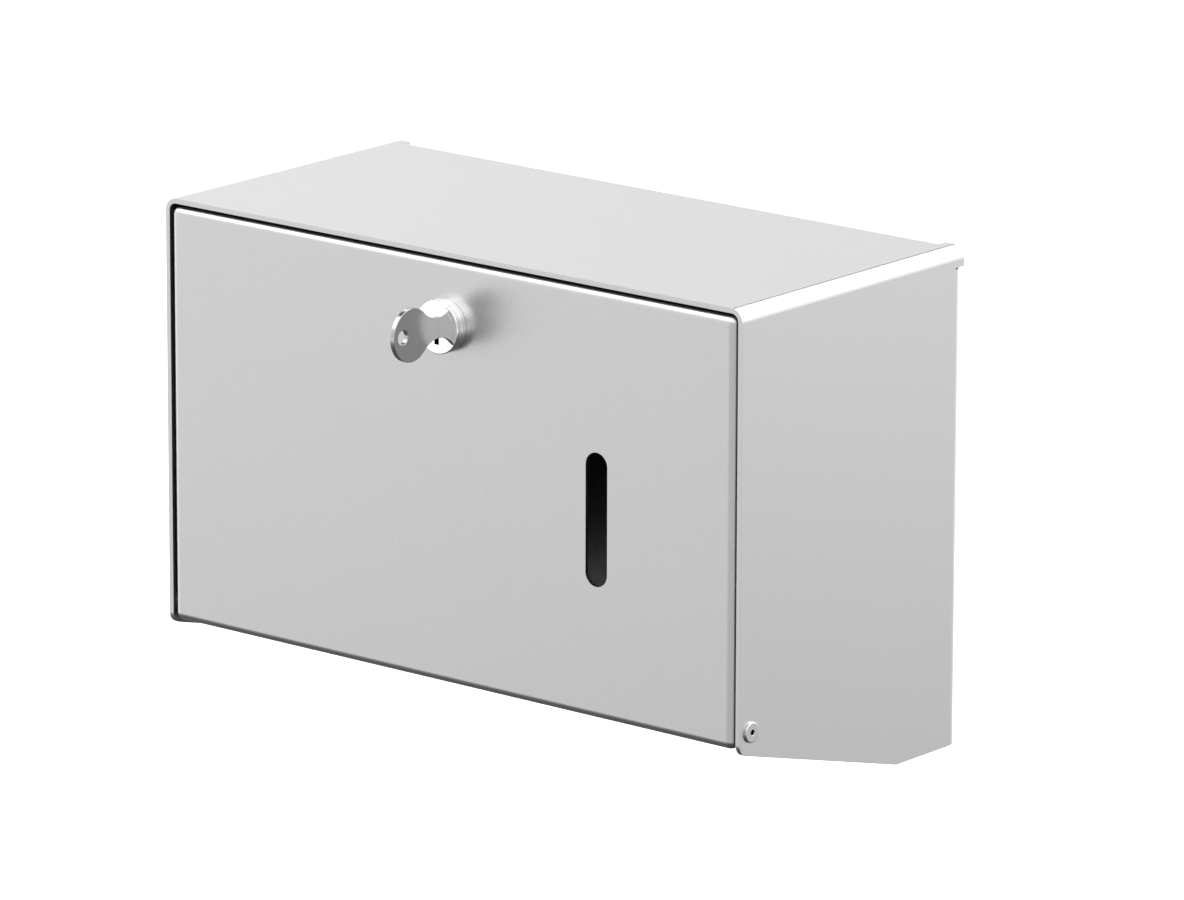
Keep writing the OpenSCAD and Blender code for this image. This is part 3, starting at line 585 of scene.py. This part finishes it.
def dress(piece, node, body):
    """Finishes a piece: its material, its shading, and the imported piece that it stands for."""
    slot = slot_of(node)
    piece.data.materials.clear()
    piece.data.materials.append(finish_for(slot))
    bpy.ops.object.select_all(action="DESELECT")
    piece.select_set(True)
    bpy.context.view_layer.objects.active = piece
    bpy.ops.object.shade_smooth_by_angle(angle=SMOOTH_FACES)
    modify(piece, "WEIGHTED_NORMAL", keep_sharp=True)
    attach(piece, body)
    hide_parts(node)


class DISPENSER_OT_door(Operator):
    """Models the door: a pan with round edges, the sight slot, and holes for lock and hinge"""
    bl_idname = "dispenser.door"
    bl_label = "Model the door"

    def execute(self, context):
        shape = context.scene.dispenser_shape
        low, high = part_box("front_door")
        door = add_block("door_pan", low, high)
        edit(door)
        choose_edges(door, lambda middle, way: middle.y < low.y + TINY or abs(way.y) > ALONG)
        bpy.ops.mesh.bevel(offset=shape.door_edge, segments=8, affect="EDGES")
        choose_faces(door, lambda middle, normal: normal.y > ALONG)
        bpy.ops.mesh.delete(type="FACE")
        leave_edit()
        modify(door, "SOLIDIFY", thickness=shape.door_sheet, offset=-1, use_even_offset=True)
        self.cut_slot(door, shape, low)
        self.cut_lock_hole(door, shape, low)
        spacer_low, spacer_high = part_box("hinge_spacer_right")
        hinge = (spacer_low + spacer_high) / 2
        past = high.x + shape.door_sheet
        cut(door, add_bar("hinge_cutter", (-past, hinge.y, hinge.z), (past, hinge.y, hinge.z),
                          shape.rivet_radius + shape.hinge_play))
        break_edges(door, shape.edge_break)
        dress(door, "front_door", "door")
        # The door's inner faces get the mill finish, darkened as painted shade
        paint_faces(door, "mill_side_painted_shade", lambda middle, normal: normal.y > ALONG
                    and middle.y < low.y + 2 * shape.door_sheet)
        return {"FINISHED"}

    def cut_slot(self, door, shape, low):
        """Cuts the sight slot, with round ends."""
        across = Vector((shape.slot_width / 2, 2 * shape.door_sheet, shape.slot_height / 2))
        middle = Vector((shape.slot_side, low.y, shape.slot_up))
        cutter = add_block("slot_cutter", middle - across, middle + across)
        edit(cutter)
        choose_edges(cutter, lambda middle, way: abs(way.y) > ALONG)
        bpy.ops.mesh.bevel(offset=shape.slot_width / 2 - TINY, segments=16, affect="EDGES")
        leave_edit()
        cut(door, cutter)

    def cut_lock_hole(self, door, shape, low):
        """Cuts the hole for the lock, with the barrel's two flats."""
        lock_low, lock_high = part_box("lock_plug")
        middle = (lock_low + lock_high) / 2
        cutter = add_bar("lock_cutter", (middle.x, low.y - MM, middle.z),
                         (middle.x, low.y + 2 * shape.door_sheet, middle.z),
                         shape.barrel_radius + shape.fit)
        flatten(cutter, middle.x, shape.barrel_flat + shape.fit)
        cut(door, cutter)


class DISPENSER_OT_case(Operator):
    """Models the folded sheets of the case, with rubbed edges and a mill finish inside that is
    darkened as painted shade
    """
    bl_idname = "dispenser.case"
    bl_label = "Model the case"

    def execute(self, context):
        shape = context.scene.dispenser_shape
        for name, node in (("hood_sheet", "hood"), ("wall_plate", "back_plate"),
                           ("tray_sheet", "bottom_tray"), ("catch_sheet", "catch_bracket")):
            sheet = copy_node(name, node)
            if node == "back_plate":
                self.round_pads(sheet, shape)
            break_edges(sheet, shape.edge_break)
            dress(sheet, node, "case")
            # The faces inside the case get the mill finish, darkened as painted shade
            paint_faces(sheet, "mill_side_painted_shade", shaded_inner_side(node))
            if node == "hood":
                paint_faces(sheet, "bend", on_bend)
        return {"FINISHED"}

    def round_pads(self, plate, shape):
        """Rounds the rims of the pads that are pressed out round the wall screws."""
        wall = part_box("back_plate")[1].y
        outside_hole = shape.pad_radius - 2 * MM

        def on_rim(middle, way):
            """A test for edges on the rim of a pad, away from its screw hole."""
            from_screw = math.hypot(abs(middle.x) - shape.screw_across,
                                    abs(middle.z) - shape.screw_up)
            return middle.y > wall - TINY and from_screw > outside_hole
        edit(plate)
        choose_edges(plate, on_rim)
        bpy.ops.mesh.bevel(offset=shape.pad_edge, segments=4, affect="EDGES",
                           clamp_overlap=True)
        leave_edit()


def blind_rivet(name, place, axis, shank, head, rise, hole, grip, tail, tail_length):
    """A blind rivet. Its head is flat with a round edge, and the hole of its mandrel has a
    rubbed lip. Its shank is swollen behind the sheets."""
    lip, edge, bulge = 0.12 * rise, 0.4 * rise, tail_length / 3
    profile = [(0, -grip / 2), (hole, -grip / 2), (hole, rise - lip)]
    profile += [(hole + lip, rise), (hole + 2 * lip, rise), (head - edge - lip, rise)]
    profile += arc(head - edge, rise - edge, edge, 90, 0, steps=6)
    profile += [(head, 0), (shank, 0), (shank, -grip), (tail - bulge, -grip)]
    profile += arc(tail - bulge, -grip - bulge, bulge, 90, 0)
    profile += arc(tail - bulge, -grip - 2 * bulge, bulge, 0, -90)
    profile += [(0, -grip - tail_length)]
    return lathe(name, profile, place, axis)


class DISPENSER_OT_rivets(Operator):
    """Turns the blind rivets of the hinge and of the tray"""
    bl_idname = "dispenser.rivets"
    bl_label = "Model the rivets"

    def execute(self, context):
        shape = context.scene.dispenser_shape
        low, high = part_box("hinge_rivet_right")
        middle = (low + high) / 2
        seat = Vector((high.x - shape.rivet_rise, middle.y, middle.z))
        right = blind_rivet("hinge_rivet_turned", seat, (1, 0, 0), shape.rivet_radius,
                            shape.rivet_head, shape.rivet_rise, shape.rivet_hole,
                            seat.x - low.x - shape.rivet_tail_length, shape.rivet_tail,
                            shape.rivet_tail_length)
        left = copy_turned(right, "hinge_rivet_turned_left", (0, middle.y, middle.z))

        def in_hole(place, normal):
            """A test for faces in the hole in the head of either rivet."""
            radius = math.hypot(place.y - middle.y, place.z - middle.z)
            under_lip = seat.x + shape.rivet_rise / 2
            return radius < shape.rivet_hole + TINY and low.x + MM < abs(place.x) < under_lip
        for rivet, node in ((right, "hinge_rivet_right"), (left, "hinge_rivet_left")):
            dress(rivet, node, "case")
            # Paints the hole in the head nearly black, as painted shade
            paint_faces(rivet, "keyway", in_hole)
        self.tray_rivets(shape)
        return {"FINISHED"}

    def tray_rivets(self, shape):
        """The row of rivets that join the tray to the wall plate, as one piece."""
        low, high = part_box("tray_rivets")
        radius, rise = shape.tray_rivet_radius, shape.tray_rivet_rise
        tail_length = shape.tray_rivet_tail_length
        seat = Vector((-shape.tray_rivet_out, high.y - rise, (low.z + high.z) / 2))
        row = blind_rivet("tray_rivets_turned", seat, (0, 1, 0), shank=radius,
                          head=2 * radius, rise=rise, hole=radius / 2,
                          grip=seat.y - low.y - tail_length, tail=1.5 * radius,
                          tail_length=tail_length)
        edit(row)
        pitch = 2 * shape.tray_rivet_out / (TRAY_RIVETS - 1)
        for step in range(TRAY_RIVETS - 1):
            bpy.ops.mesh.duplicate_move(TRANSFORM_OT_translate={"value": (pitch, 0, 0)})
        leave_edit()
        dress(row, "tray_rivets", "case")


class DISPENSER_OT_soft_stops(Operator):
    """Models the nylon spacers of the hinge and the rubber buffers of the door"""
    bl_idname = "dispenser.soft_stops"
    bl_label = "Model the spacers and buffers"

    def execute(self, context):
        shape = context.scene.dispenser_shape
        low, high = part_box("hinge_spacer_right")
        inner, outer = shape.rivet_radius + shape.fit, (high.z - low.z) / 2
        middle, thick = (low + high) / 2, high.x - low.x
        profile = [(inner, 0), (outer, 0), (outer, thick), (inner, thick), (inner, 0)]
        right = lathe("spacer_ring", profile, (low.x, middle.y, middle.z), (1, 0, 0), steps=48)
        break_edges(right, shape.small_edge)
        left = copy_turned(right, "spacer_ring_left", (0, middle.y, middle.z))
        dress(right, "hinge_spacer_right", "case")
        dress(left, "hinge_spacer_left", "case")
        self.buffers(shape)
        return {"FINISHED"}

    def buffers(self, shape):
        """The two rubber blocks, with grooves across the side that the door meets."""
        low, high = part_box("buffer_right")
        block = add_block("buffer_block", low, high)
        edit(block)
        choose_edges(block, lambda middle, way: abs(way.z) > ALONG and middle.x < low.x + TINY)
        bpy.ops.mesh.bevel(offset=shape.buffer_round, segments=6, affect="EDGES")
        leave_edit()
        groove = shape.groove_half
        for step in range(1, BUFFER_GROOVES + 1):
            height = low.z + step * shape.groove_pitch
            cut(block, add_block("groove_cutter", (low.x - MM, low.y - MM, height - groove),
                                 (high.x + MM, low.y + groove, height + groove)))
        break_edges(block, shape.edge_break)
        twin = copy_turned(block, "buffer_block_left", (0, (low.y + high.y) / 2, 0))
        edit(twin)
        bpy.ops.transform.rotate(value=math.pi, orient_axis="X", center_override=(
            0, (low.y + high.y) / 2, (low.z + high.z) / 2))
        leave_edit()
        dress(block, "buffer_right", "case")
        dress(twin, "buffer_left", "case")


class DISPENSER_OT_lock(Operator):
    """Turns the lock's head with its threaded barrel and the plug, and finishes nut and washer"""
    bl_idname = "dispenser.lock"
    bl_label = "Model the lock"

    def execute(self, context):
        shape = context.scene.dispenser_shape
        low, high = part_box("lock_housing")
        middle = (low + high) / 2
        face = Vector((middle.x, low.y, middle.z))
        self.housing(shape, face, high.y - low.y)
        self.plug(shape, face, high.y - low.y)
        for name, node in (("lock_nut_milled", "lock_nut"), ("lock_washer_stamped", "lock_washer")):
            piece = copy_node(name, node)
            break_edges(piece, shape.small_edge)
            dress(piece, node, "door")
        return {"FINISHED"}

    def housing(self, shape, face, whole):
        """The polished head with its bore, and the threaded barrel with two flats."""
        head, edge, depth = shape.head_radius, shape.head_edge, shape.head_depth
        seat, barrel, pitch = shape.seat_radius, shape.barrel_radius, shape.thread_pitch
        chamfer, groove, foot = shape.seat_edge, shape.head_groove, shape.head_foot
        profile = [(seat, chamfer), (seat + chamfer, 0)]
        profile += arc(head - edge, edge, edge, -90, 0)
        profile += [(head, depth / 2 - groove), (head - groove, depth / 2)]
        profile += [(head, depth / 2 + groove), (head, depth - foot), (head - foot, depth)]
        profile += [(barrel, depth), (barrel, depth + 2 * shape.door_sheet)]
        along = depth + 2 * shape.door_sheet
        while along + pitch < whole:
            profile += [(barrel - shape.thread_depth, along + pitch / 2), (barrel, along + pitch)]
            along += pitch
        profile += [(barrel - shape.thread_depth, whole), (shape.bore_radius, whole)]
        profile += [(shape.bore_radius, shape.seat_depth), (seat, shape.seat_depth)]
        housing = lathe("lock_head_turned", profile + profile[:1], face, (0, 1, 0))
        past = barrel + MM
        for side in (-1, 1):
            inner, outer = side * shape.barrel_flat, side * past
            cut(housing, add_block("flat_cutter", (
                face.x + min(inner, outer), face.y + depth, face.z - past), (
                face.x + max(inner, outer), face.y + whole + MM, face.z + past)))
        dress(housing, "lock_housing", "door")

    def plug(self, shape, face, barrel_end):
        """The plug: a round body with a wider head, a square tail for the cam and a stud with
        a thread, cut through for the key and the wafers."""
        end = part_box("lock_plug")[1].y - face.y
        tail_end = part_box("lock_cam")[1].y - shape.tail_gap
        head, body = shape.seat_radius - shape.fit, shape.bore_radius - shape.fit
        head_end, chamfer = shape.seat_depth - shape.fit, shape.seat_edge
        stud, pitch = shape.stud_radius, shape.stud_pitch
        profile = [(0, 0), (head - chamfer, 0), (head, chamfer), (head, head_end)]
        profile += [(body, head_end), (body, barrel_end), (stud, barrel_end)]
        along = tail_end - face.y
        while along + pitch < end:
            profile += [(stud, along), (stud - pitch / 2, along + pitch / 2)]
            along += pitch
        profile += [(stud - pitch / 2, end), (0, end)]
        plug = lathe("plug_turned", profile, face, (0, 1, 0))
        half = shape.tail_half
        tail = add_block("tail_block", (face.x - half, face.y + barrel_end - MM, face.z - half),
                         (face.x + half, tail_end, face.z + half))
        modify(plug, "BOOLEAN", object=tail, operation="UNION", solver="EXACT")
        bpy.data.objects.remove(tail)
        self.keyway(plug, shape, face)
        self.wafer_slots(plug, shape, face, head)
        dress(plug, "lock_plug", "lock")
        near = 0.1 * MM
        # Paints the keyway's walls nearly black, as painted shade
        paint_faces(plug, "keyway", lambda middle, normal:
                    abs(middle.x - face.x) < shape.window_half + near
                    and abs(middle.z - face.z) < shape.window_drop + 2 * near
                    and face.y + 2 * near < middle.y < face.y + barrel_end - MM)

    def keyway(self, plug, shape, face):
        """Cuts the slot for the key's blade and the open end of the keyhole under it."""
        key_low, key_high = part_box("key")
        thick, blade = (key_high.x - key_low.x) / 2 + shape.fit / 2, shape.keyway_half
        cut(plug, add_block("keyway_cutter", (face.x - thick, face.y - MM, face.z - blade),
                            (face.x + thick, key_high.y + shape.keyway_spare, face.z + blade)))
        window = shape.window_half
        cut(plug, add_block("window_cutter", (
            face.x - window, face.y - MM, face.z - shape.window_drop), (
            face.x + window, face.y + shape.window_depth, face.z - shape.window_top)))

    def wafer_slots(self, plug, shape, face, reach):
        """Cuts one slot right through the plug for each wafer."""
        low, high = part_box("lock_wafers")
        step = (high.y - low.y - shape.wafer_thick) / (WAFERS - 1)
        for number in range(WAFERS):
            front = low.y + number * step - shape.fit
            back = front + shape.wafer_thick + 2 * shape.fit
            cut(plug, add_block("wafer_cutter", (low.x - shape.fit, front, face.z - reach),
                                (high.x + shape.fit, back, face.z + reach)))


class DISPENSER_OT_cam(Operator):
    """Finishes the cam with its washer and nut, and the key"""
    bl_idname = "dispenser.cam"
    bl_label = "Model the cam and key"

    def execute(self, context):
        for name, node, radius in (("cam_stamped", "lock_cam", 0.15 * MM),
                                   ("cam_washer_stamped", "cam_washer", 0.1 * MM),
                                   ("cam_nut_milled", "cam_nut", 0.12 * MM),
                                   ("key_blanked", "key", 0.2 * MM)):
            piece = copy_node(name, node)
            break_edges(piece, radius, segments=3)
            dress(piece, node, "lock")
        return {"FINISHED"}


class DISPENSER_OT_finish_nodes(Operator):
    """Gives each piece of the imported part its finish, for those that no modelled piece replaces"""
    bl_idname = "dispenser.finish_nodes"
    bl_label = "Finish the packed pieces"

    def execute(self, context):
        for name, node in frame["nodes"].items():
            node.data.materials.clear()
            node.data.materials.append(finish_for(slot_of(name)))
        return {"FINISHED"}


class DISPENSER_OT_stage(Operator):
    """Sets up the floor, the light and the camera"""
    bl_idname = "dispenser.stage"
    bl_label = "Set the stage"

    def execute(self, context):
        stage = context.scene.dispenser_stage
        add_floor(stage)
        add_light(context.scene)
        add_camera(context.scene, stage)
        context.scene.view_settings.view_transform = "Standard"
        return {"FINISHED"}


def add_floor(stage):
    """A plain pale floor. Only the camera sees it, and only from above."""
    bpy.ops.mesh.primitive_plane_add(size=FLOOR_SIZE, location=(0, 0, -stage.floor_drop))
    floor = bpy.context.object
    floor.name = "floor"
    floor.visible_glossy = False
    floor.visible_diffuse = False
    material, tree = start_material("matt_floor")
    behind = add_node(tree, "ShaderNodeNewGeometry").outputs["Backfacing"]
    matt = add_node(tree, "ShaderNodeBsdfDiffuse", {"Color": (*stage.floor_colour, 1)})
    clear = add_node(tree, "ShaderNodeBsdfTransparent")
    either = add_node(tree, "ShaderNodeMixShader", {"Fac": behind, 1: matt.outputs[0],
                                                    2: clear.outputs[0]})
    add_node(tree, "ShaderNodeOutputMaterial", {"Surface": either.outputs[0]})
    floor.data.materials.append(material)


def add_ramp(tree, place, stops, low, high):
    """A ramp of grey from one place to the next, as a share of the brightest light."""
    share = add_node(tree, "ShaderNodeMapRange", {
        "Value": place, "From Min": low, "From Max": high})
    ramp = add_node(tree, "ShaderNodeValToRGB", {"Fac": share.outputs["Result"]})
    elements = ramp.color_ramp.elements
    while len(elements) < len(stops):
        elements.new(0.5)
    for element, (where, light) in zip(elements, stops):
        element.position = (where - low) / (high - low)
        element.color = (*[light / BRIGHTEST] * 3, 1)
    return ramp.outputs["Color"]


def add_card(tree, *directions):
    """Where a card stands: 1 on it and 0 off it, with soft edges. Each direction has its
    place, its two limits and the softness of those edges."""
    both = 1.0
    for place, low, high, soft in directions:
        for edge, into in ((low, 1), (high, -1)):
            side = add_node(tree, "ShaderNodeMapRange", {
                "Value": place, "From Min": edge - into * soft, "From Max": edge + into * soft},
                interpolation_type="SMOOTHSTEP")
            both = add_node(tree, "ShaderNodeMath", {0: both, 1: side.outputs["Result"]},
                            operation="MULTIPLY").outputs[0]
    return both


def add_light(scene):
    """Soft light from all round. It is bright overhead and at a pale horizon a little below
    eye height, dark underneath, and brighter on the left than on the right. The camera itself
    sees plain white behind the dispenser."""
    world = bpy.data.worlds.new("studio")
    scene.world = world
    world.use_nodes = True
    tree = world.node_tree
    tree.nodes.clear()
    toward = add_node(tree, "ShaderNodeTexCoord").outputs["Generated"]
    parts = add_node(tree, "ShaderNodeSeparateXYZ", {"Vector": toward})
    front = add_node(tree, "ShaderNodeMath", {0: parts.outputs["Y"], 1: -1.0},
                     operation="MULTIPLY")
    bearing = add_node(tree, "ShaderNodeMath", {0: parts.outputs["X"], 1: front.outputs[0]},
                       operation="ARCTAN2")
    height = add_ramp(tree, parts.outputs["Z"], HEIGHT_LIGHT, -1.0, 1.0)
    sides = [(math.radians(where), light) for where, light in ROUND_LIGHT]
    around = add_ramp(tree, bearing.outputs[0], sides, -math.pi, math.pi)
    both = add_node(tree, "ShaderNodeMath", {0: height, 1: around}, operation="MULTIPLY")
    strength = add_node(tree, "ShaderNodeMath", {0: both.outputs[0], 1: BRIGHTEST ** 2},
                        operation="MULTIPLY")
    for left, right, low, high, soft, light in CARDS:
        across = (bearing.outputs[0], math.radians(left), math.radians(right), CARD_EDGE)
        card = add_card(tree, across, (parts.outputs["Z"], low, high, soft))
        strength = add_node(tree, "ShaderNodeMix", {
            "Factor": card, "A": strength.outputs[0], "B": light}, data_type="FLOAT")
    soft = add_node(tree, "ShaderNodeBackground", {"Color": (1, 1, 1, 1),
                                                   "Strength": strength.outputs[0]})
    plain = add_node(tree, "ShaderNodeBackground", {"Color": (1, 1, 1, 1), "Strength": 1.0})
    seen = add_node(tree, "ShaderNodeLightPath").outputs["Is Camera Ray"]
    either = add_node(tree, "ShaderNodeMixShader", {"Fac": seen, 1: soft.outputs[0],
                                                    2: plain.outputs[0]})
    add_node(tree, "ShaderNodeOutputWorld", {"Surface": either.outputs[0]})


def add_camera(scene, stage):
    """A long lens in front of the dispenser, to its right and a little above it."""
    azimuth, elevation = stage.azimuth, stage.elevation
    back = Vector((math.sin(azimuth) * math.cos(elevation),
                   -math.cos(azimuth) * math.cos(elevation), math.sin(elevation)))
    right = Vector((math.cos(azimuth), math.sin(azimuth), 0))
    across = Matrix.Rotation(stage.roll, 3, back) @ right
    up = back.cross(across)
    bpy.ops.object.camera_add()
    camera = bpy.context.object
    camera.name = "camera"
    camera.data.sensor_width = SENSOR_WIDTH
    camera.data.lens = stage.lens
    camera.data.clip_end = CAMERA_REACH
    camera.matrix_world = Matrix.LocRotScale(
        Vector(stage.aim) + back * stage.distance,
        Matrix((across, up, back)).transposed(), None)
    scene.camera = camera


class DISPENSER_PT_panel(Panel):
    """Lists the sizes and colours, and the steps that build the dispenser"""
    bl_idname = "DISPENSER_PT_panel"
    bl_label = "Paper Towel Dispenser"
    bl_space_type = "VIEW_3D"
    bl_region_type = "UI"
    bl_category = "Dispenser"

    def draw(self, context):
        for group in (getattr(context.scene, name) for name in GROUPS):
            column = self.layout.column(align=True)
            for name in group.__annotations__:
                column.prop(group, name)
        column = self.layout.column(align=True)
        for step in STEPS:
            column.operator(step.bl_idname)


STEPS = (DISPENSER_OT_finish_nodes, DISPENSER_OT_case, DISPENSER_OT_door, DISPENSER_OT_rivets,
         DISPENSER_OT_soft_stops, DISPENSER_OT_lock, DISPENSER_OT_cam, DISPENSER_OT_stage)
GROUPS = {"dispenser_shape": DispenserShape, "dispenser_finish": DispenserFinish,
          "dispenser_stage": DispenserStage}


def register():
    """Adds the settings, the steps and the panel to Blender."""
    for group in (*GROUPS.values(), *STEPS, DISPENSER_PT_panel):
        bpy.utils.register_class(group)
    for name, group in GROUPS.items():
        setattr(bpy.types.Scene, name, PointerProperty(type=group))


def unregister():
    """Takes them out again."""
    for name in GROUPS:
        delattr(bpy.types.Scene, name)
    for group in (DISPENSER_PT_panel, *reversed(STEPS), *reversed(GROUPS.values())):
        bpy.utils.unregister_class(group)


def main():
    """Builds the whole scene."""
    register()
    bpy.ops.object.select_all(action="DESELECT")
    for step in STEPS:
        group, name = step.bl_idname.split(".")
        getattr(getattr(bpy.ops, group), name)()


if __name__ == "__main__":
    main()
